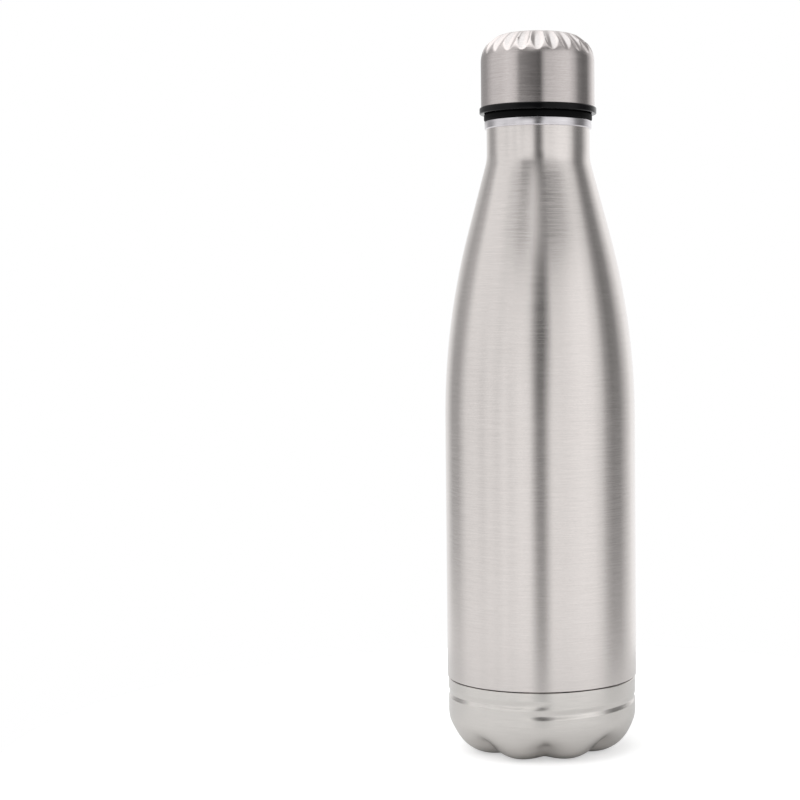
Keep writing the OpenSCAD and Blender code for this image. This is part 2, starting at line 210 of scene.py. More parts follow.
def turn(name, outline, steps=STEPS_ROUND):
    """Turns an outline into a ring, disc or tube, and closes it first unless it runs from axis to axis."""
    off_axis = outline[0][0] > 0 or outline[-1][0] > 0
    piece = draw(name, outline + outline[:1] if off_axis else outline)
    spin(piece, steps)
    smooth(piece)
    return piece


def report(piece):
    """Prints what a finished piece measures."""
    low = [1000 * min(v.co[k] for v in piece.data.vertices) for k in range(3)]
    high = [1000 * max(v.co[k] for v in piece.data.vertices) for k in range(3)]
    size = " x ".join(f"{b - a:.1f}" for a, b in zip(low, high))
    print(f"{piece.name}: {size} mm, z {low[2]:.1f} to {high[2]:.1f}, {len(piece.data.polygons)} faces")


def belongs(piece, node, body, finish):
    """Gives the piece its finish and the body it rides on, hides the CAD node that it stands for, and prints
    its size.
    """
    piece.data.materials.append(finish)
    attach(piece, body)
    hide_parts(node)
    report(piece)


# %% [markdown]
# ## Nodes for the finishes
#
# One function adds a shader node. Its settings fill the node's own sockets, its links join it to other
# nodes, its stops are the places and colours of a colour ramp, and anything else is a property of the node.
# Colours are written as they look on a screen, in hex, and one function turns them into the linear values
# that light works with.

# %% Finishes: the helpers
def colour(code):
    """A colour written as sRGB hex, as linear values with full opacity."""
    parts = [int(code[i:i + 2], 16) / 255 for i in (1, 3, 5)]
    return tuple(c / 12.92 if c <= 0.04045 else ((c + 0.055) / 1.055) ** 2.4 for c in parts) + (1.0,)


def node(tree, kind, settings=None, links=None, stops=(), **properties):
    """Adds one node: settings fill its sockets, links join them to outputs, and stops fill its ramp."""
    made = tree.nodes.new(kind)
    for name, value in properties.items():
        setattr(made, name, value)
    for name, value in (settings or {}).items():
        made.inputs[name].default_value = value
    for name, source in (links or {}).items():
        tree.links.new(source, made.inputs[name])
    while stops and len(made.color_ramp.elements) < len(stops):
        made.color_ramp.elements.new(0.5)
    for index, (place, shade) in enumerate(stops):
        made.color_ramp.elements[index].position = place
        made.color_ramp.elements[index].color = shade
    return made


def blank(name):
    """A new material that has no nodes yet, and its tree."""
    made = bpy.data.materials.new(name)
    made.use_nodes = True
    made.node_tree.nodes.clear()
    return made, made.node_tree


# %% [markdown]
# ## Brushed stainless steel
#
# The shell, the cap and the cup are 304 stainless steel that was turned on a spindle against a 180-grit
# belt. The belt leaves fine scratches that run round the bottle. Each scratch spreads a reflection up and
# down, but hardly sideways, so lights and dark gaps in the room show as upright streaks.
#
# The scratches are noise that is stretched round the axis and very fine along it. A real scratch is about
# 0.1 mm wide, too fine for this picture, so it is drawn 0.35 mm wide, with short grit marks of the same
# width between. The noise reads height less radius, so that the scratches also run on round the cap's dome,
# and height plus radius on the cup, whose foot curves the other way.
#
# The shell and the cup take a silky, even grey from this. The cap was ground on another spindle and is a
# little darker. Faces that nobody sees are left as they were drawn, which is duller.

# %% Where the scratches run
DOME_WAY = -1.0
FOOT_WAY = 1.0


def round_axis(tree, way, size_mm):
    """A position for noise whose marks are so long round the axis, and so wide across it."""
    along_mm, across_mm = size_mm
    place = node(tree, "ShaderNodeTexCoord").outputs["Object"]
    split = node(tree, "ShaderNodeSeparateXYZ", links={"Vector": place})
    flat = node(tree, "ShaderNodeCombineXYZ", links={"X": split.outputs["X"], "Y": split.outputs["Y"]})
    radius = node(tree, "ShaderNodeVectorMath", links={0: flat.outputs[0]}, operation="LENGTH")
    across = node(
        tree, "ShaderNodeMath", {1: way}, {0: radius.outputs["Value"], 2: split.outputs["Z"]},
        operation="MULTIPLY_ADD",
    )
    joined = node(
        tree, "ShaderNodeCombineXYZ",
        links={"X": split.outputs["X"], "Y": split.outputs["Y"], "Z": across.outputs[0]},
    )
    scaled = node(
        tree, "ShaderNodeVectorMath", {1: (1000 / along_mm, 1000 / along_mm, 1000 / across_mm)},
        {0: joined.outputs[0]}, operation="MULTIPLY",
    )
    return scaled.outputs[0]


# %% Finish: brushed stainless steel
SCRATCH_MM = (9, 0.35)
GRIT_MM = (0.9, 0.4)
GRIT_SHARE = 0.5
SCRATCH_DEPTH = 0.01 * MM
ROUGH_SPREAD = 0.02
QUARTER_TURN = 0.25


def brushed_steel(name, light_hex, dark_hex, way, roughness, relief):
    """Stainless steel with scratches that run round the axis."""
    made, tree = blank(name)
    scratches = node(
        tree, "ShaderNodeTexNoise", {"Scale": 1.0, "Detail": 2.0, "Roughness": 0.6},
        {"Vector": round_axis(tree, way, SCRATCH_MM)},
    ).outputs["Fac"]
    grit = node(
        tree, "ShaderNodeTexNoise", {"Scale": 1.0, "Detail": 1.0, "Roughness": 0.5},
        {"Vector": round_axis(tree, way, GRIT_MM)},
    ).outputs["Fac"]
    mixed = node(
        tree, "ShaderNodeMath", {1: GRIT_SHARE}, {0: grit, 2: scratches}, operation="MULTIPLY_ADD",
    ).outputs[0]
    shade = node(
        tree, "ShaderNodeValToRGB", links={"Fac": mixed},
        stops=[(0.5, colour(dark_hex)), (1.0, colour(light_hex))],
    ).outputs["Color"]
    rough = node(
        tree, "ShaderNodeMapRange",
        {
            "From Min": 0.4, "From Max": 0.6,
            "To Min": roughness - ROUGH_SPREAD, "To Max": roughness + ROUGH_SPREAD,
        },
        {"Value": scratches},
    ).outputs["Result"]
    lines = node(
        tree, "ShaderNodeBump", {"Strength": relief, "Distance": SCRATCH_DEPTH}, {"Height": mixed},
    ).outputs["Normal"]
    tangent = node(tree, "ShaderNodeTangent", direction_type="RADIAL", axis="Z").outputs["Tangent"]
    steel = node(
        tree, "ShaderNodeBsdfPrincipled",
        {"Metallic": 1.0, "Anisotropic": 0.8, "Anisotropic Rotation": QUARTER_TURN},
        {"Base Color": shade, "Roughness": rough, "Normal": lines, "Tangent": tangent},
    )
    node(tree, "ShaderNodeOutputMaterial", links={"Surface": steel.outputs[0]})
    print("made", name)
    return made


shell_steel = brushed_steel(
    "stainless_steel_brushed", "#E9E3E0", "#E0DAD7", DOME_WAY, roughness=0.2, relief=0.35,
)
cap_steel = brushed_steel(
    "stainless_steel_brushed_cap", "#D8D1CF", "#CCC5C3", DOME_WAY, roughness=0.2, relief=0.35,
)
cup_steel = brushed_steel(
    "stainless_steel_brushed_cup", "#E8E4E0", "#DFDBD7", FOOT_WAY, roughness=0.2, relief=0.3,
)
inside_steel = brushed_steel(
    "stainless_steel_as_drawn", "#D2D0CE", "#BAB8B6", FOOT_WAY, roughness=0.36, relief=0.3,
)

# %% [markdown]
# ## Polished stainless steel
#
# The rolled sleeve and the mouth ring are left with the mill's bright finish and lightly polished, so they
# mirror the room. Rolling leaves a faint waviness, a few millimetres from crest to crest.

# %% Finish: polished stainless steel
WAVE_MM = (9, 4)
HAZE_MM = (6, 1)
WAVE_DEPTH = 0.05 * MM

polished_steel, tree = blank("stainless_steel_polished")
waves = node(
    tree, "ShaderNodeTexNoise", {"Scale": 1.0, "Detail": 1.0},
    {"Vector": round_axis(tree, FOOT_WAY, WAVE_MM)},
).outputs["Fac"]
haze = node(
    tree, "ShaderNodeTexNoise", {"Scale": 1.0, "Detail": 4.0},
    {"Vector": round_axis(tree, FOOT_WAY, HAZE_MM)},
).outputs["Fac"]
bright = node(
    tree, "ShaderNodeBsdfPrincipled", {"Metallic": 1.0},
    {
        "Base Color": node(
            tree, "ShaderNodeValToRGB", links={"Fac": haze},
            stops=[(0.3, colour("#D6D2D6")), (0.7, colour("#E6E3E6"))],
        ).outputs["Color"],
        "Roughness": node(
            tree, "ShaderNodeMapRange", {"To Min": 0.08, "To Max": 0.18}, {"Value": haze},
        ).outputs["Result"],
        "Normal": node(
            tree, "ShaderNodeBump", {"Strength": 0.15, "Distance": WAVE_DEPTH}, {"Height": waves},
        ).outputs["Normal"],
    },
)
node(tree, "ShaderNodeOutputMaterial", links={"Surface": bright.outputs[0]})
print("made", polished_steel.name)

# %% [markdown]
# ## Black plastics, silicone, foam and the vacuum parts
#
# The cap's core is polypropylene from a polished mould, so it is glossy, with slight sink marks. The seals
# are silicone, matt and a little dusty. In a white studio a full gloss would turn black grey, so both get
# less of it than such plastics have, which keeps them as deep as they look in the hand. The cap's plug is
# rigid foam with cells about 0.4 mm wide. The vacuum port is closed with a bead of dull solder glass, and
# the getter beside it is pressed powder.

# %% Finish: moulded plastics, rubbers and the rest
GRAIN_DEPTH = 0.02 * MM
CLOUD_GRAINS = 20


def moulded(name, light_hex, dark_hex, roughness, grain_mm, relief, metallic=0.0, ior=1.5, gloss=0.5):
    """A moulded or pressed material with a fine, even grain, and with clouds of colour 20 grains wide."""
    made, tree = blank(name)
    place = node(tree, "ShaderNodeTexCoord").outputs["Object"]
    grain = node(
        tree, "ShaderNodeTexNoise", {"Scale": 1000 / grain_mm, "Detail": 3.0}, {"Vector": place},
    ).outputs["Fac"]
    cloud = node(
        tree, "ShaderNodeTexNoise", {"Scale": 1000 / (CLOUD_GRAINS * grain_mm), "Detail": 2.0},
        {"Vector": place},
    ).outputs["Fac"]
    surface = node(
        tree, "ShaderNodeBsdfPrincipled", {"Metallic": metallic, "IOR": ior, "Specular IOR Level": gloss},
        {
            "Base Color": node(
                tree, "ShaderNodeValToRGB", links={"Fac": cloud},
                stops=[(0.35, colour(dark_hex)), (0.65, colour(light_hex))],
            ).outputs["Color"],
            "Roughness": node(
                tree, "ShaderNodeMapRange", {"To Min": roughness[0], "To Max": roughness[1]},
                {"Value": cloud},
            ).outputs["Result"],
            "Normal": node(
                tree, "ShaderNodeBump", {"Strength": relief, "Distance": GRAIN_DEPTH}, {"Height": grain},
            ).outputs["Normal"],
        },
    )
    node(tree, "ShaderNodeOutputMaterial", links={"Surface": surface.outputs[0]})
    print("made", name)
    return made


core_plastic = moulded(
    "polypropylene_gloss_black", "#0A090C", "#040405", roughness=(0.12, 0.24), grain_mm=0.5, relief=0.08,
    ior=1.49, gloss=0.18,
)
silicone = moulded(
    "silicone_matt_black", "#080809", "#040404", roughness=(0.5, 0.65), grain_mm=0.25, relief=0.35,
    ior=1.41, gloss=0.1,
)
foam = moulded("polyurethane_foam", "#E9E4D4", "#D9D2BE", roughness=(0.85, 0.95), grain_mm=0.4, relief=1.0)
getter_powder = moulded(
    "getter_pressed_powder", "#7C7A76", "#5C5A57", roughness=(0.6, 0.75), grain_mm=0.15, relief=0.8,
    metallic=0.6,
)
solder_glass = moulded(
    "solder_glass_dull", "#5E6064", "#44464A", roughness=(0.3, 0.45), grain_mm=0.3, relief=0.2,
)

# %% [markdown]
# ## The bottle's shell
#
# The outer shell is one drawn and swaged tube: a straight barrel, a long curve into the shoulder, a straight
# slope, and a hollow curve into the neck. The inner flask follows the same line, one wall and one vacuum gap
# further in, so one function gives both lines.

# %% The shell's line
SHELL_WALL = 0.6 * MM
FLASK_WALL = 0.5 * MM
VACUUM_GAP = 2.6 * MM
BELLY_R = 265 * MM
THROAT_R = 18 * MM
NECK_R = 18.9 * MM
NECK_H = 8.6 * MM
SLOPE_DEG = 15
BELLY_STEPS = 28
THROAT_STEPS = 12

throat_z = neck_top - NECK_H
slope = math.radians(SLOPE_DEG)
belly_end = barrel_r - BELLY_R * (1 - math.cos(slope))
throat_end = NECK_R + THROAT_R * (1 - math.cos(slope))
belly_z = throat_z - (BELLY_R + THROAT_R) * math.sin(slope) - (belly_end - throat_end) / math.tan(slope)
print(f"the barrel is straight up to {1000 * belly_z:.1f} mm")


def bottle_line(inset, low_z):
    """The line from the barrel's foot up to the neck's top, moved inwards."""
    return (
        [(barrel_r - inset, low_z)]
        + arc(barrel_r - BELLY_R, belly_z, BELLY_R - inset, 0, SLOPE_DEG, BELLY_STEPS)
        + arc(NECK_R + THROAT_R, throat_z, THROAT_R + inset, 180 + SLOPE_DEG, 180, THROAT_STEPS)
        + [(NECK_R - inset, neck_top)]
    )


# %% Turning the shell
EDGE_ROUND = 0.2 * MM
outside = bottle_line(0, seam_z + EDGE_ROUND)
inside = bottle_line(SHELL_WALL, seam_z)
body_skin = turn("body_skin", [(barrel_r - EDGE_ROUND, seam_z)] + outside + inside[::-1], STEPS_FINE)
belongs(body_skin, "outer_shell", "bottle", shell_steel)

# %% [markdown]
# ## The inner flask
#
# The liner is the same line further in. Its dished floor has a rim that is welded inside it.

# %% Turning the liner and its floor
DISH_STEPS = 16
flask_inset = SHELL_WALL + VACUUM_GAP
flask_in_inset = flask_inset + FLASK_WALL
floor_low, floor_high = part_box("flask_base")
flask_end_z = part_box("inner_flask")[0].z

liner = turn("liner", bottle_line(flask_inset, flask_end_z) + bottle_line(flask_in_inset, flask_end_z)[::-1])
belongs(liner, "inner_flask", "bottle", inside_steel)


def dish(flat_r, edge_r, edge_z, rise):
    """The line of a dished disc, from its middle, or from the flat part of it, out to its edge."""
    run = edge_r - flat_r
    radius = (run * run + rise * rise) / (2 * abs(rise))
    sweep = math.asin(run / radius)
    up = 1 if rise > 0 else -1
    turns = [sweep * i / DISH_STEPS for i in range(DISH_STEPS + 1)]
    return [(flat_r + radius * math.sin(t), edge_z + rise - up * radius * (1 - math.cos(t))) for t in turns]


floor_r = floor_high.x
floor_sag = flask_end_z - floor_low.z
under = dish(0, floor_r, flask_end_z, -floor_sag)
over = [(r, z + FLASK_WALL) for r, z in dish(0, floor_r - FLASK_WALL, flask_end_z, -floor_sag)]
liner_floor = turn(
    "liner_floor", under + [(floor_r, floor_high.z), (floor_r - FLASK_WALL, floor_high.z)] + over[::-1]
)
belongs(liner_floor, "flask_base", "bottle", inside_steel)

# %% [markdown]
# ## The compartment's ceiling
#
# The domed bulkhead closes the vacuum space from below, and is what one sees on looking up into the
# compartment. The bead over its vacuum port is a drop of solder glass, so it is round.

# %% Turning the ceiling and the bead
ROOF_FLAT_R = 10 * MM
ROOF_RIM_H = 6 * MM
PORT_R = 0.8 * MM
BEAD_STEPS = 12
roof_low, roof_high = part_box("bulkhead")
port_low, port_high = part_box("vacuum_port_seal")
roof_r = roof_high.x
roof_edge_z = roof_low.z + ROOF_RIM_H
roof_rise = roof_high.z - SHELL_WALL - roof_edge_z
over = [(r, z + SHELL_WALL) for r, z in dish(ROOF_FLAT_R, roof_r, roof_edge_z, roof_rise)]
under = dish(ROOF_FLAT_R, roof_r - SHELL_WALL, roof_edge_z, roof_rise)
ceiling = turn(
    "ceiling",
    [(PORT_R, roof_high.z - SHELL_WALL)] + under + [(roof_r - SHELL_WALL, roof_low.z), (roof_r, roof_low.z)]
    + over[::-1] + [(PORT_R, roof_high.z)],
)
belongs(ceiling, "bulkhead", "bottle", inside_steel)

bead_r = port_high.x
bead_h = port_high.z - port_low.z
quarter = [math.radians(90 * i / BEAD_STEPS) for i in range(BEAD_STEPS + 1)]
port_bead = turn(
    "port_bead",
    [(bead_r * math.sin(t), port_high.z - bead_h * math.cos(t)) for t in quarter] + [(0, port_high.z)],
    STEPS_SMALL,
)
belongs(port_bead, "vacuum_port_seal", "bottle", solder_glass)

# %% [markdown]
# ## Pressing a shape into a turned wall
#
# Threads, flutes and lobes are all pressed or rolled into a wall that was first turned plain. In Blender the
# wall's points get a weight, as if it were painted on, and a Displace modifier pushes each point along its
# normal by its weight. A Boolean cut would leave long thin faces that spoil a reflection, but this keeps the
# turned wall's even grid.

# %% Pressing
def places(piece):
    """The x, y and z of a piece's points, as three arrays."""
    flat = np.empty(3 * len(piece.data.vertices))
    piece.data.vertices.foreach_get("co", flat)
    return flat.reshape(-1, 3).T


def press(piece, way, share):
    """Pushes the wall along its normals: way is the full push, and share is each point's part of it."""
    choose(piece)
    weights = np.clip(share, 0, 1)
    painted = piece.vertex_groups.new(name="pressed")
    for index in np.flatnonzero(weights > 0):
        painted.add([int(index)], float(weights[index]), "REPLACE")
    pusher = piece.modifiers.new("press", "DISPLACE")
    pusher.strength = way
    pusher.mid_level = 0
    pusher.vertex_group = painted.name
    bpy.ops.object.modifier_apply(modifier=pusher.name)
    piece.vertex_groups.clear()


def ease(t):
    """A smooth step from 0 to 1."""
    t = np.clip(t, 0, 1)
    return t * t * (3 - 2 * t)


def thread_share(x, y, z, lead, turns, start_deg, start_z, root_w, crest_w, fade=30):
    """Each point's part of a thread's height: 1 on the crest, 0 beside the ridge and past its ends."""
    first = (np.degrees(np.arctan2(y, x)) - start_deg) / 360 % 1
    best = np.zeros(len(x))
    for lap in range(math.ceil(turns)):
        turn = first + lap
        aside = np.abs(z - start_z - lead * turn)
        across = (root_w / 2 - aside) / ((root_w - crest_w) / 2)
        along = np.minimum(turn, turns - turn) * 360 / fade
        best = np.maximum(best, ease(across) * ease(along))
    return best


def rows(radius, z_from, z_to, pitch):
    """Points straight up or down a wall, close enough together to take a pressed shape."""
    count = math.ceil(abs(z_to - z_from) / pitch)
    return [(radius, z_from + (z_to - z_from) * i / count) for i in range(count + 1)]


# %% [markdown]
# ## The mouth ring
#
# The mouth is a thick steel ring with a rounded collar outside and the cap's thread inside. The thread is
# rolled into the ring's skirt, so its edges are soft.

# %% Turning the mouth ring
COLLAR_ROUND = 0.5 * MM
MOUTH_CHAMFER = 0.6 * MM
SKIRT_WALL = 0.75 * MM
SLIP_FIT = 0.05 * MM
CAP_LEAD = 4.0 * MM
THREAD_H = 1.0 * MM
THREAD_GAP = 0.35 * MM
THREAD_CREST = 0.8 * MM
THREAD_ABOVE_SKIRT = 6 * MM
ROW_PITCH = 0.2 * MM
NEARLY = 0.1 * MM
ROLLED_ANGLE = 50
collar_r = ring_high.x
skirt_z = ring_low.z
mouth_r = NECK_R - flask_in_inset - SLIP_FIT - SKIRT_WALL
skirt_r = mouth_r + SKIRT_WALL
mouth_thread_z = skirt_z + THREAD_ABOVE_SKIRT

mouth_collar = turn(
    "mouth_collar",
    [(skirt_r, skirt_z), (skirt_r, neck_top)]
    + rim(collar_r, neck_top, mouth_z, COLLAR_ROUND)
    + [(mouth_r + MOUTH_CHAMFER, mouth_z)]
    + rows(mouth_r, mouth_z - MOUTH_CHAMFER, skirt_z, ROW_PITCH),
)
x, y, z = places(mouth_collar)
ridge = thread_share(
    x, y, z, lead=CAP_LEAD, turns=1.5, start_deg=0, start_z=mouth_thread_z,
    root_w=1.65 * MM, crest_w=THREAD_CREST,
)
press(mouth_collar, THREAD_H, ridge * (np.hypot(x, y) < mouth_r + NEARLY))
smooth(mouth_collar, ROLLED_ANGLE)
belongs(mouth_collar, "mouth_ring", "bottle", polished_steel)

# %% [markdown]
# ## The cap's black core
#
# The core is one moulding of polypropylene: a flange that shows as a black line under the steel, a skirt
# that fills the steel cap, and a hollow stem with the thread on it. Moulded edges are never quite sharp, so
# the flange's rim is rounded. The stem's thread starts half a lead below the mouth's, between its turns.

# %% Turning the core
FLANGE_ROUND = 0.4 * MM
CORE_WALL = 1.6 * MM
CAP_WALL = 0.5 * MM
STEM_CHAMFER = 1 * MM
THREAD_RUNOUT = 1 * MM
flange_r = core_high.x
stem_z = core_low.z
core_top = core_high.z
core_r = cap_r - CAP_WALL - SLIP_FIT
stem_r = mouth_r - THREAD_GAP - THREAD_H
stem_bore_r = stem_r - CORE_WALL
stem_thread_z = mouth_thread_z - CAP_LEAD / 2

cap_moulding = turn(
    "cap_moulding",
    [(0, stem_z), (stem_r - STEM_CHAMFER, stem_z)]
    + rows(stem_r, stem_z + STEM_CHAMFER, flange_z, ROW_PITCH)
    + rim(flange_r, flange_z, cap_z, FLANGE_ROUND)
    + [
        (core_r, cap_z), (core_r, core_top), (core_r - CORE_WALL, core_top), (core_r - CORE_WALL, cap_z),
        (stem_r, cap_z), (stem_r, core_top), (stem_bore_r, core_top), (stem_bore_r, stem_z + CORE_WALL),
        (0, stem_z + CORE_WALL),
    ],
)
x, y, z = places(cap_moulding)
ridge = thread_share(
    x, y, z, lead=CAP_LEAD, turns=1.75, start_deg=0, start_z=stem_thread_z,
    root_w=1.6 * MM, crest_w=THREAD_CREST,
)
ridge *= (z < flange_z - THREAD_RUNOUT) * (np.hypot(x, y) > stem_r - NEARLY)
press(cap_moulding, THREAD_H, ridge)
smooth(cap_moulding, ROLLED_ANGLE)
belongs(cap_moulding, "cap_core", "cap", core_plastic)

# %% [markdown]
# ## The cap's seal
#
# A flat ring of silicone lies between the flange and the collar. Its outer edge bulges a little, because
# the cap is screwed down on it.

# %% Turning the seal
SEAL_ROUND = 0.6 * MM
SEAL_CLEAR = 0.25 * MM
seal_in_r = stem_r + SEAL_CLEAR
seal_ring = turn(
    "seal_ring",
    [(seal_in_r, seal_low.z)]
    + rim(seal_high.x, seal_low.z, seal_high.z, SEAL_ROUND)
    + [(seal_in_r, seal_high.z)],
)
belongs(seal_ring, "cap_seal", "cap_slider", silicone)

# %% [markdown]
# ## The steel cap
#
# The cap is drawn from 0.5 mm sheet, and its rounded shoulder is then pressed against a ring of rollers, one
# for each flute. A roller runs on a curved path, deepest half way round the shoulder, so each flute has a
# round end towards the side and another towards the top. Between two flutes stands a narrow ridge.
#
# The push at each point is how far the plain dome reaches into the roller's ring. It is found in small
# steps, because a point that moves also comes nearer to another part of the ring.

# %% Where the rollers run
FLUTES = 23
COLUMNS = 14
ROLLER_R = 3.6 * MM
FLUTE_DEPTH = 1.0 * MM
FLUTE_SPAN = 66
CAP_SHOULDER_R = 10.0 * MM
PRESS_STEPS = 24

dome_r = cap_r - CAP_SHOULDER_R
dome_z = cap_top - CAP_SHOULDER_R
half = math.sqrt(0.5)
bulge = CAP_SHOULDER_R * (1 - math.cos(math.radians(FLUTE_SPAN / 2)))
path_shift = FLUTE_DEPTH * (2 * CAP_SHOULDER_R - FLUTE_DEPTH) / (2 * (bulge - FLUTE_DEPTH))
path_r = CAP_SHOULDER_R - FLUTE_DEPTH + path_shift + ROLLER_R
path_at = (dome_r - path_shift * half, dome_z - path_shift * half)
print(f"a roller's path is an arc of {1000 * path_r:.1f} mm radius")


def flute_push(x, y, z, inset):
    """How far the dome, or its inner face one wall further in, is pushed in at each point."""
    radius = np.hypot(x, y)
    sector = math.tau / FLUTES
    turn = (np.arctan2(y, x) + math.pi / 2 + sector / 2) % sector - sector / 2
    tilt = np.arctan2(np.maximum(z - dome_z, 0), np.maximum(radius - dome_r, 0))
    step_x, step_y, step_z = np.cos(tilt) * np.cos(turn), np.cos(tilt) * np.sin(turn), np.sin(tilt)
    along, across = radius * np.cos(turn), radius * np.sin(turn)
    push = np.zeros(len(x))
    for _ in range(PRESS_STEPS):
        away = np.hypot(along - step_x * push - path_at[0], z - step_z * push - path_at[1]) - path_r
        push += np.maximum(ROLLER_R + inset - np.hypot(away, across - step_y * push), 0)
    return push


# %% The cap's outline
LIP_ROUND = 0.15 * MM
SIDE_PITCH = 3 * MM
SHOULDER_STEPS = 60
TOP_RINGS = 4


def cap_line(inset):
    """The cap's wall from its lip up, round the shoulder and in to the middle of the top."""
    return (
        rows(cap_r - inset, cap_z + LIP_ROUND, dome_z, SIDE_PITCH)[:-1]
        + arc(dome_r, dome_z, CAP_SHOULDER_R - inset, 0, 90, SHOULDER_STEPS)
        + [(dome_r * k / TOP_RINGS, cap_top - inset) for k in reversed(range(TOP_RINGS))]
    )


def lip(outer_r, wall, top_z):
    """The rounded edge between the outer and the inner face of a sheet."""
    return [(outer_r - LIP_ROUND, top_z), (outer_r - wall + LIP_ROUND, top_z)]


# %% Turning and pressing the cap
DEEPEST = 2 * MM
FLUTE_ANGLE = 40
cap_skin = turn(
    "cap_skin", cap_line(0)[::-1] + lip(cap_r, CAP_WALL, cap_z) + cap_line(CAP_WALL), FLUTES * COLUMNS,
)
x, y, z = places(cap_skin)
from_line = np.hypot(np.maximum(np.hypot(x, y) - dome_r, 0), np.maximum(z - dome_z, 0))
outer = from_line > CAP_SHOULDER_R - CAP_WALL / 2
press(cap_skin, -DEEPEST, outer * flute_push(x, y, z, 0) / DEEPEST)
press(cap_skin, DEEPEST, ~outer * flute_push(x, y, z, CAP_WALL) / DEEPEST)
smooth(cap_skin, FLUTE_ANGLE)
belongs(cap_skin, "cap_shell", "cap", cap_steel)

# %% [markdown]
# ## The threaded neck
#
# A band of sheet steel is welded inside the shell, steps in at the seam, and hangs below it as a neck with
# two turns of rolled thread. Rolling pushes the wall out without making it thicker, so the same ridge shows
# as a groove inside. The free end is curled in, so no hand is cut on it. The ridge starts a quarter turn
# before the base's, and half a lead below it, so that one thread lies between the turns of the other.

# %% The neck's outline
BASE_LEAD = 3.6 * MM
BASE_THREAD_H = 1.1 * MM
THREAD_BELOW_SEAM = 8.6 * MM
CUP_WALL = 0.6 * MM
SLEEVE_WALL = 0.6 * MM
CURL = 0.5 * MM
CURL_STEPS = 6
JOGGLE_H = 2 * MM
JOGGLE_BELOW_SEAM = 0.4 * MM
JOGGLE_STEPS = 10
NECK_PITCH = 0.16 * MM
cup_r = cup_high.x
sleeve_r = cup_r - CUP_WALL - THREAD_GAP - BASE_THREAD_H
band_r = barrel_r - SHELL_WALL - SLIP_FIT
neck_end = sleeve_low.z
plain_end = seam_z - 0.5 * MM
thread_low_z = seam_z - THREAD_BELOW_SEAM
joggle = [
    (sleeve_r + (band_r - sleeve_r) * ease(t), seam_z - JOGGLE_BELOW_SEAM + JOGGLE_H * t)
    for t in np.linspace(0, 1, JOGGLE_STEPS + 1)
]
plain = rows(sleeve_r, neck_end + CURL, plain_end, NECK_PITCH)
outside = (
    arc(sleeve_r - CURL, neck_end + CURL, CURL, -90, 0, CURL_STEPS)[:-1]
    + plain + joggle + [(band_r, sleeve_high.z)]
)
inside = (
    [(sleeve_r - SLEEVE_WALL - CURL, neck_end), (sleeve_r - SLEEVE_WALL - CURL, neck_end + CURL)]
    + [(r - SLEEVE_WALL, z) for r, z in plain if z > neck_end + 2 * CURL]
    + [(r - SLEEVE_WALL, z) for r, z in joggle] + [(band_r - SLEEVE_WALL, sleeve_high.z)]
)
print(f"the neck hangs {1000 * (seam_z - neck_end):.1f} mm below the seam")

# %% Turning and rolling the neck
threaded_neck = turn("threaded_neck", outside + inside[::-1], STEPS_FINE)
x, y, z = places(threaded_neck)
ridge = thread_share(
    x, y, z, lead=BASE_LEAD, turns=2, start_deg=-180, start_z=thread_low_z - BASE_LEAD * 0.75,
    root_w=2.0 * MM, crest_w=0.5 * MM,
)
ridge *= (z < plain_end) * (z > neck_end + 2 * CURL)
outer = np.hypot(x, y) > sleeve_r - SLEEVE_WALL / 2
press(threaded_neck, BASE_THREAD_H, ridge * outer)
press(threaded_neck, -BASE_THREAD_H, ridge * ~outer)
smooth(threaded_neck, ROLLED_ANGLE)
belongs(threaded_neck, "thread_sleeve", "bottle", polished_steel)

# %% [markdown]
# ## The screw-off base
#
# The base cup is one deep-drawn pressing. One turn of thread is rolled into its wall, and shows outside as a
# shallow groove that winds once round the cup. The foot is pressed into eight lobes with sharp creases
# between them, and rises to a low dome in the middle. Only the lobes' crowns touch the table, and each is
# pressed flat there.

# %% The lobes' shape
LOBES = 8
LOBE_TURN = 2
LOBE_R = 14.5 * MM
FOOT_FLAT = 0.15 * MM
FOOT_INSET = 0.05 * MM
DOME_H = 4.5 * MM
CREASE_DEPTH = 3.2 * MM
CREASE_UNDER = 0.4
CREASE_SOFT = 0.06
CREASE_FROM_DEG = 7
CREASE_FULL_DEG = 46
lobe_z = LOBE_R - FOOT_FLAT
foot_r = cup_r - FOOT_INSET - LOBE_R


def creases(x, y, z):
    """Each point's part of the creases' full depth, which they have half way down the corner."""
    radius = np.hypot(x, y)
    between = np.sin((np.arctan2(y, x) + math.pi / 2 - math.radians(LOBE_TURN)) * LOBES / 2)
    share = 1 - np.hypot(between, CREASE_SOFT)
    down = np.degrees(np.arctan2(np.maximum(lobe_z - z, 0), np.maximum(radius - foot_r, 0)))
    deeper = ease((down - CREASE_FROM_DEG) / (CREASE_FULL_DEG - CREASE_FROM_DEG))
    shallower = ease((down - CREASE_FULL_DEG) / (90 - CREASE_FULL_DEG))
    corner = deeper - (1 - CREASE_UNDER) * shallower
    return share * np.where(radius > foot_r, corner, CREASE_UNDER * (radius / foot_r) ** 2)


# %% The cup's outline
CUP_PITCH = 0.17 * MM
CORNER_STEPS = 34
DOME_STEPS = 24


def cup_line(inset):
    """The cup's wall from its lip down, round the lobes' corner and up to the middle of the dome."""
    wall = rows(cup_r - inset, cup_high.z - LIP_ROUND, lobe_z, CUP_PITCH)
    corner = arc(foot_r, lobe_z, LOBE_R - inset, 0, -90, CORNER_STEPS)[1:]
    dome = [
        (foot_r * (1 - t), lobe_z - LOBE_R + inset + (DOME_H + FOOT_FLAT) * ease(t))
        for t in np.linspace(0, 1, DOME_STEPS + 1)[1:]
    ]
    return wall + corner + dome


# %% [markdown]
# The outline is turned by the same 2 degrees as the lobes before it is spun, so that a column of points lies
# along the middle of each crease. With no window, the rotate operator turns the other way, so its angle is
# negative.

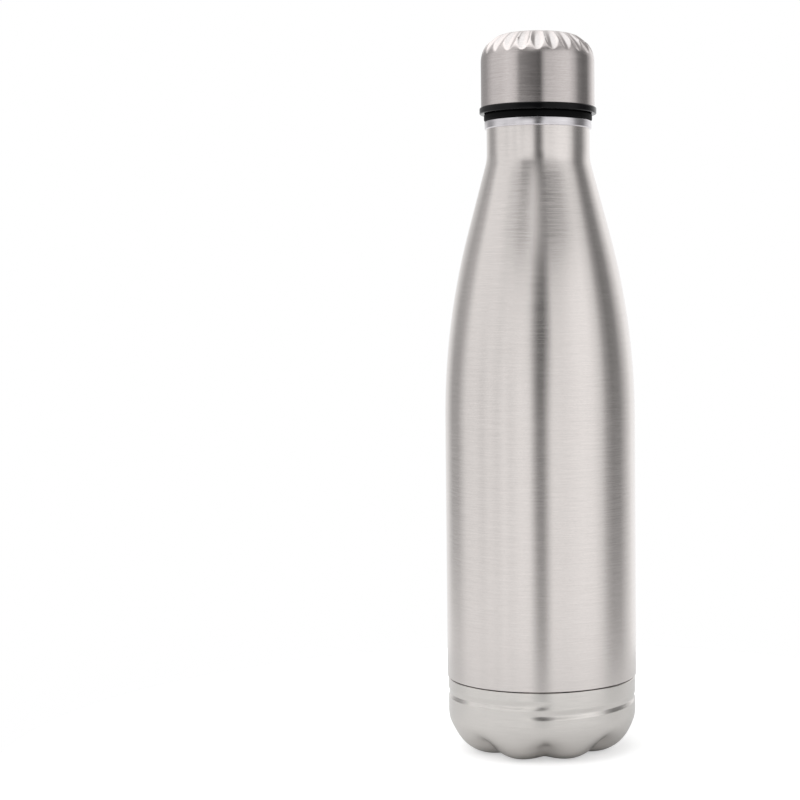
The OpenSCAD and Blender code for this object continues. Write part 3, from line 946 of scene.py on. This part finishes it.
# %% Turning the cup
outside = cup_line(0)
inside = cup_line(CUP_WALL)
cup_skin = draw("cup_skin", outside[::-1] + lip(cup_r, CUP_WALL, cup_high.z) + inside)
bpy.ops.mesh.select_all(action="SELECT")
bpy.ops.transform.rotate(value=-math.radians(LOBE_TURN), orient_axis="Z", center_override=(0, 0, 0))
spin(cup_skin, STEPS_FINE)

# %% [markdown]
# The two faces of the sheet are pressed one after the other, in opposite directions along their normals.
# Which face a point is on is asked once, before anything moves, by whether it lies nearer the outer line.

# %% Which points are on the cup's outer face
def gap_to(line, radius, z):
    """How far each point is from the nearest point of a line of (radius, height)."""
    line = np.array(line)
    return np.hypot(line[:, :1] - radius, line[:, 1:] - z).min(axis=0)


x, y, z = places(cup_skin)
radius = np.hypot(x, y)
outer = gap_to(outside, radius, z) < gap_to(inside, radius, z)
print(f"{outer.sum()} of {len(outer)} points are on the outer face")

# %% Rolling the groove and pressing the lobes
FRONT_DEG = -90
GROOVE_DEPTH = 0.4 * MM
GROOVE_LEAD_IN = 14
GROOVE_FADE = 22
PLAIN_LIP = 0.5 * MM
straight = (z > lobe_z) * (z < cup_high.z - PLAIN_LIP)
groove = straight * thread_share(
    x, y, z, lead=BASE_LEAD, turns=1 + GROOVE_FADE / 360, start_deg=FRONT_DEG - GROOVE_LEAD_IN,
    start_z=thread_low_z - BASE_LEAD * GROOVE_LEAD_IN / 360, root_w=3.6 * MM, crest_w=0.2 * MM,
    fade=GROOVE_FADE,
)
ridge = straight * thread_share(
    x, y, z, lead=BASE_LEAD, turns=1.03, start_deg=FRONT_DEG, start_z=thread_low_z,
    root_w=2.9 * MM, crest_w=1.0 * MM,
)
lobed = (z < lobe_z) * creases(x, y, z)
press(cup_skin, -GROOVE_DEPTH, outer * groove)
press(cup_skin, BASE_THREAD_H, ~outer * ridge)
press(cup_skin, -CREASE_DEPTH, outer * lobed)
press(cup_skin, CREASE_DEPTH, ~outer * lobed)
edit(cup_skin)
pick_points(cup_skin, lambda place: place.z < 0)
bpy.ops.transform.resize(value=(1, 1, 0), center_override=(0, 0, 0))
smooth(cup_skin, ROLLED_ANGLE)
belongs(cup_skin, "base_cup", "base", cup_steel)

# %% [markdown]
# ## The tray and the compartment's seal
#
# A shallow tray closes the bottom of the compartment over the lobes, so that coins and notes lie flat. Its
# rim carries the seal ring, on which the neck's curled end comes down. The upper face of its sloping part
# is moved in by a third of the wall, so that the wall stays about even there.

# %% Turning the tray
TRAY_WALL = 0.6 * MM
TRAY_RIM = 2.2 * MM
TRAY_DEPTH = 3.6 * MM
TRAY_SLANT = 1.3
SWELL_STEPS = 12
tray_low, tray_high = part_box("base_tray")
tray_r = tray_high.x
rim_in_r = tray_r - TRAY_RIM
tray_floor_r = rim_in_r - TRAY_SLANT * TRAY_DEPTH
swell = [
    (tray_floor_r + (rim_in_r - tray_floor_r) * t, TRAY_DEPTH * ease(t))
    for t in np.linspace(0, 1, SWELL_STEPS + 1)
]
tray = turn(
    "tray",
    [(0, tray_low.z)] + [(r, tray_low.z + z) for r, z in swell] + [(tray_r, tray_high.z - TRAY_WALL)]
    + [(tray_r, tray_high.z)] + [(r - TRAY_WALL / 3, tray_low.z + TRAY_WALL + z) for r, z in swell[::-1]]
    + [(0, tray_low.z + TRAY_WALL)],
)
belongs(tray, "base_tray", "base", inside_steel)

# %% Turning the tray's seal
WASHER_ROUND = 0.3 * MM
WASHER_W = 2 * MM
WASHER_STEPS = 5
washer_low, washer_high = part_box("base_seal")
washer_r = washer_high.x
round_at_r = washer_r - WASHER_W + WASHER_ROUND
base_ring = turn(
    "base_ring",
    rim(washer_r, washer_low.z, washer_high.z, WASHER_ROUND, WASHER_STEPS)
    + arc(round_at_r, washer_high.z - WASHER_ROUND, WASHER_ROUND, 90, 180, WASHER_STEPS)
    + arc(round_at_r, washer_low.z + WASHER_ROUND, WASHER_ROUND, 180, 270, WASHER_STEPS),
)
belongs(base_ring, "base_seal", "base_slider", silicone)

# %% [markdown]
# ## Pieces that stay as they are
#
# The foam plug, the core's lid and the getter are plain discs on the real object too, and none of them
# shows. Their CAD solids stay, and only get their finishes.

# %% Finishes on the CAD pieces
for name, finish in (("cap_foam", foam), ("core_lid", core_plastic), ("getter", getter_powder)):
    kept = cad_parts[name]
    kept.data.materials.clear()
    kept.data.materials.append(finish)
    print(name, "is now", finish.name)

# %% [markdown]
# ## The studio
#
# Steel shows the room that it stands in, so the room matters as much as the steel. A product photograph is
# taken between large white panels with dark gaps between them, and each gap shows as an upright dark streak.
# The world holds those panels as five bands of brightness round the horizon, one above the other. The
# lowest one is calm, the next two are level with the bottle, and the fourth shows on the shoulder. The fifth
# is the ceiling, bright on the left and dim on the right, which gives each flute of the cap a bright and a
# shaded side. Straight above hangs one white lamp.
#
# The panels are given as (degrees to the right of the camera, brightness), as seen from the bottle.

# %% The panels round the bottle
FLOOR_PANELS = [
    (-180, 0.95), (-120, 0.86), (-14, 0.95), (-7, 0.72), (-2, 0.58), (4, 0.6), (12, 0.93), (70, 0.94),
    (84, 0.76), (96, 0.6), (112, 0.6), (128, 0.8), (145, 0.95), (180, 0.95),
]
LOW_PANELS = [
    (-180, 1.0), (-150, 0.8), (-133, 0.4), (-118, 0.38), (-101, 0.8), (-84, 0.84), (-74, 0.72), (-64, 0.86),
    (-53, 0.75), (-44, 0.92), (-36, 0.78), (-24, 0.94), (-13, 0.9), (-8, 0.5), (-3, 0.16), (3, 0.15),
    (8, 0.5), (14, 0.9), (28, 0.86), (52, 0.98), (66, 0.94), (78, 0.72), (88, 0.33), (98, 0.2), (112, 0.24),
    (128, 0.6), (145, 0.98), (180, 1.0),
]
MIDDLE_PANELS = [
    (-180, 0.9), (-142, 0.6), (-128, 0.42), (-112, 0.5), (-98, 0.88), (-74, 0.84), (-62, 0.86), (-50, 0.8),
    (-44, 0.86), (-34, 0.88), (-22, 0.9), (-14, 0.8), (-8, 0.42), (-2, 0.15), (5, 0.1), (11, 0.4),
    (17, 0.84), (28, 0.86), (46, 1.0), (64, 1.02), (78, 0.78), (88, 0.36), (98, 0.2), (112, 0.24),
    (124, 0.6), (140, 1.0), (180, 1.0),
]
HIGH_PANELS = [
    (-180, 0.9), (-98, 0.9), (-74, 0.85), (-62, 0.62), (-50, 0.5), (-42, 0.36), (-34, 0.19), (-26, 0.22),
    (-19, 0.42), (-12, 0.66), (-6, 0.66), (0, 0.5), (7, 0.26), (13, 0.09), (22, 0.08), (30, 0.16),
    (44, 0.22), (56, 0.42), (66, 0.54), (80, 0.6), (90, 0.54), (100, 0.3), (112, 0.36), (130, 0.9),
    (180, 1.0),
]
CEILING_PANELS = [
    (-180, 1.1), (-150, 1.5), (-60, 1.75), (-20, 1.6), (0, 1.4), (40, 1.0), (80, 0.6), (105, 0.4), (130, 0.4),
    (150, 0.8), (180, 1.1),
]

# %% [markdown]
# ### From panels to light
#
# A direction's angle round the bottle picks the brightness from a colour ramp, one ramp for each band, and
# its height picks the band. Heights are given as the sine of the elevation: where a band starts to show,
# and where it shows alone.

# %% Reading the panels
def panels(tree, split, stops):
    """The brightness round the horizon, from a place or direction that is split into x, y and z."""
    towards = node(
        tree, "ShaderNodeMath", {1: -1.0}, {0: split.outputs["Y"]}, operation="MULTIPLY",
    ).outputs[0]
    angle = node(
        tree, "ShaderNodeMath", links={0: split.outputs["X"], 1: towards}, operation="ARCTAN2",
    ).outputs[0]
    round_share = node(
        tree, "ShaderNodeMath", {1: 1 / math.tau, 2: 0.5}, {0: angle}, operation="MULTIPLY_ADD",
    ).outputs[0]
    return node(
        tree, "ShaderNodeValToRGB", links={"Fac": round_share},
        stops=[(degrees / 360 + 0.5, (light, light, light, 1)) for degrees, light in stops],
    ).outputs["Color"]


def blend(tree, split, low, high, from_z, to_z):
    """Goes from one brightness to another as the direction rises."""
    rise = node(
        tree, "ShaderNodeMapRange", {"From Min": from_z, "From Max": to_z}, {"Value": split.outputs["Z"]},
        interpolation_type="SMOOTHSTEP",
    ).outputs["Result"]
    return node(
        tree, "ShaderNodeMix", links={"Factor": rise, "A": low, "B": high}, data_type="RGBA",
    ).outputs["Result"]


# %% The world
BANDS = (
    (LOW_PANELS, -0.2, -0.12), (MIDDLE_PANELS, 0.02, 0.2), (HIGH_PANELS, 0.4, 0.54),
    (CEILING_PANELS, 0.62, 0.76),
)
LAMP_LIGHT = (1.43, 1.48, 1.5, 1)
LAMP_FROM_Z = 0.9
LAMP_TO_Z = 0.97
WHITE = (1, 1, 1, 1)

world = bpy.data.worlds.new("studio")
bpy.context.scene.world = world
world.use_nodes = True
tree = world.node_tree
tree.nodes.clear()
look = node(tree, "ShaderNodeTexCoord").outputs["Generated"]
split = node(tree, "ShaderNodeSeparateXYZ", links={"Vector": look})
room = panels(tree, split, FLOOR_PANELS)
for stops, from_z, to_z in BANDS:
    room = blend(tree, split, room, panels(tree, split, stops), from_z, to_z)
overhead = node(tree, "ShaderNodeRGB").outputs[0]
overhead.default_value = LAMP_LIGHT
room = blend(tree, split, room, overhead, LAMP_FROM_Z, LAMP_TO_Z)
rays = node(tree, "ShaderNodeLightPath")
studio_light = node(tree, "ShaderNodeBackground", links={"Color": room})
backdrop = node(tree, "ShaderNodeBackground", {"Color": WHITE})
seen = node(
    tree, "ShaderNodeMixShader",
    links={0: rays.outputs["Is Camera Ray"], 1: studio_light.outputs[0], 2: backdrop.outputs[0]},
)
node(tree, "ShaderNodeOutputWorld", links={"Surface": seen.outputs[0]})
print(f"the studio has {1 + len(BANDS)} bands of panels and one lamp overhead")

# %% [markdown]
# ## The table, the cards and the lamps
#
# The table is a round white top, 0.4 m across. It shows in the lobed foot, which is calmer than the rest for
# that reason. It glows for the camera, so that it meets the white backdrop with no line, and it still takes
# the bottle's soft shadow.
#
# A narrow collar of grey cards hangs round the cap, 3 cm from it. It is so close that only the cap and the
# mouth ring show it. That gives the cap its broad dark band left of the middle, while the body stays bright
# there. The cards show only in mirror reflections, and their upper and lower edges are soft.
#
# Two large soft lamps give the black and pale pieces their light. They don't show in the steel, because the
# world already holds the panels that do.

# %% The table
TABLE_R = 200 * MM
TABLE_GLOW = 0.5
EDGE_STEPS = 96
start_clean()
bpy.ops.mesh.primitive_circle_add(
    vertices=EDGE_STEPS, radius=TABLE_R, fill_type="NGON", location=(0, 0, 0),
)
table = bpy.context.object
table.name = table.data.name = "table"
table_white, tree = blank("table_lacquer_matt_white")
rays = node(tree, "ShaderNodeLightPath")
glow = node(
    tree, "ShaderNodeMath", {1: TABLE_GLOW}, {0: rays.outputs["Is Camera Ray"]}, operation="MULTIPLY",
).outputs[0]
top = node(
    tree, "ShaderNodeBsdfPrincipled",
    {"Base Color": colour("#D4D4D4"), "Roughness": 0.9, "Emission Color": WHITE},
    {"Emission Strength": glow},
)
node(tree, "ShaderNodeOutputMaterial", links={"Surface": top.outputs[0]})
table.data.materials.append(table_white)
print(f"the table is {2000 * TABLE_R:.0f} mm across")

# %% The collar of cards
CARDS_R = 50 * MM
CARDS_H = 40 * MM
CARDS_Z = 252 * MM
CARDS_EDGE = 6 * MM
CARD_PANELS = [
    (-180, 0.6), (-122, 0.4), (-106, 0.42), (-85, 0.75), (-63, 0.8), (-51, 0.9), (-43, 0.84), (-36, 0.72),
    (-29, 0.32), (-17, 0.23), (-8, 0.17), (-3, 0.15), (4, 0.1), (8, 0.42), (13, 0.68), (23, 0.74),
    (37, 0.86), (52, 0.9), (64, 0.62), (73, 0.28), (84, 0.18), (96, 0.2), (107, 0.55), (122, 1.0),
    (180, 1.0),
]

start_clean()
bpy.ops.mesh.primitive_cylinder_add(
    vertices=EDGE_STEPS, radius=CARDS_R, depth=CARDS_H, end_fill_type="NOTHING", location=(0, 0, CARDS_Z),
)
cards = bpy.context.object
cards.name = cards.data.name = "cards"
card_glow, tree = blank("card_grey")
place = node(tree, "ShaderNodeTexCoord").outputs["Object"]
split = node(tree, "ShaderNodeSeparateXYZ", links={"Vector": place})
lit = node(tree, "ShaderNodeEmission", links={"Color": panels(tree, split, CARD_PANELS)})
height = node(tree, "ShaderNodeMath", links={0: split.outputs["Z"]}, operation="ABSOLUTE").outputs[0]
gone = node(
    tree, "ShaderNodeMapRange", {"From Min": CARDS_H / 2 - CARDS_EDGE, "From Max": CARDS_H / 2},
    {"Value": height}, interpolation_type="SMOOTHSTEP",
).outputs["Result"]
clear = node(tree, "ShaderNodeBsdfTransparent")
faded = node(tree, "ShaderNodeMixShader", links={0: gone, 1: lit.outputs[0], 2: clear.outputs[0]})
node(tree, "ShaderNodeOutputMaterial", links={"Surface": faded.outputs[0]})
cards.data.materials.append(card_glow)
cards.visible_camera = cards.visible_diffuse = cards.visible_transmission = cards.visible_shadow = False
print(f"the cards hang {1000 * (CARDS_R - cap_r):.0f} mm from the cap")

# %% The lamps
LAMP_AIM = (0, 0, 0.12)


def soft_lamp(name, place, size, watts):
    """A square lamp that faces the bottle's middle, and doesn't show in the steel."""
    start_clean()
    bpy.ops.object.light_add(type="AREA", location=place)
    lamp = bpy.context.object
    lamp.name = name
    lamp.data.size = size
    lamp.data.energy = watts
    aim = np.array(LAMP_AIM) - np.array(place)
    lamp.rotation_euler = (math.acos(-aim[2] / np.linalg.norm(aim)), 0, math.atan2(-aim[0], aim[1]))
    lamp.visible_glossy = False
    print(f"{name}: {watts} W, {1000 * size:.0f} mm across")


soft_lamp("key_lamp", (-0.7, -0.8, 0.9), size=0.7, watts=4.0)
soft_lamp("fill_lamp", (0.9, -0.5, 0.7), size=0.8, watts=2.5)
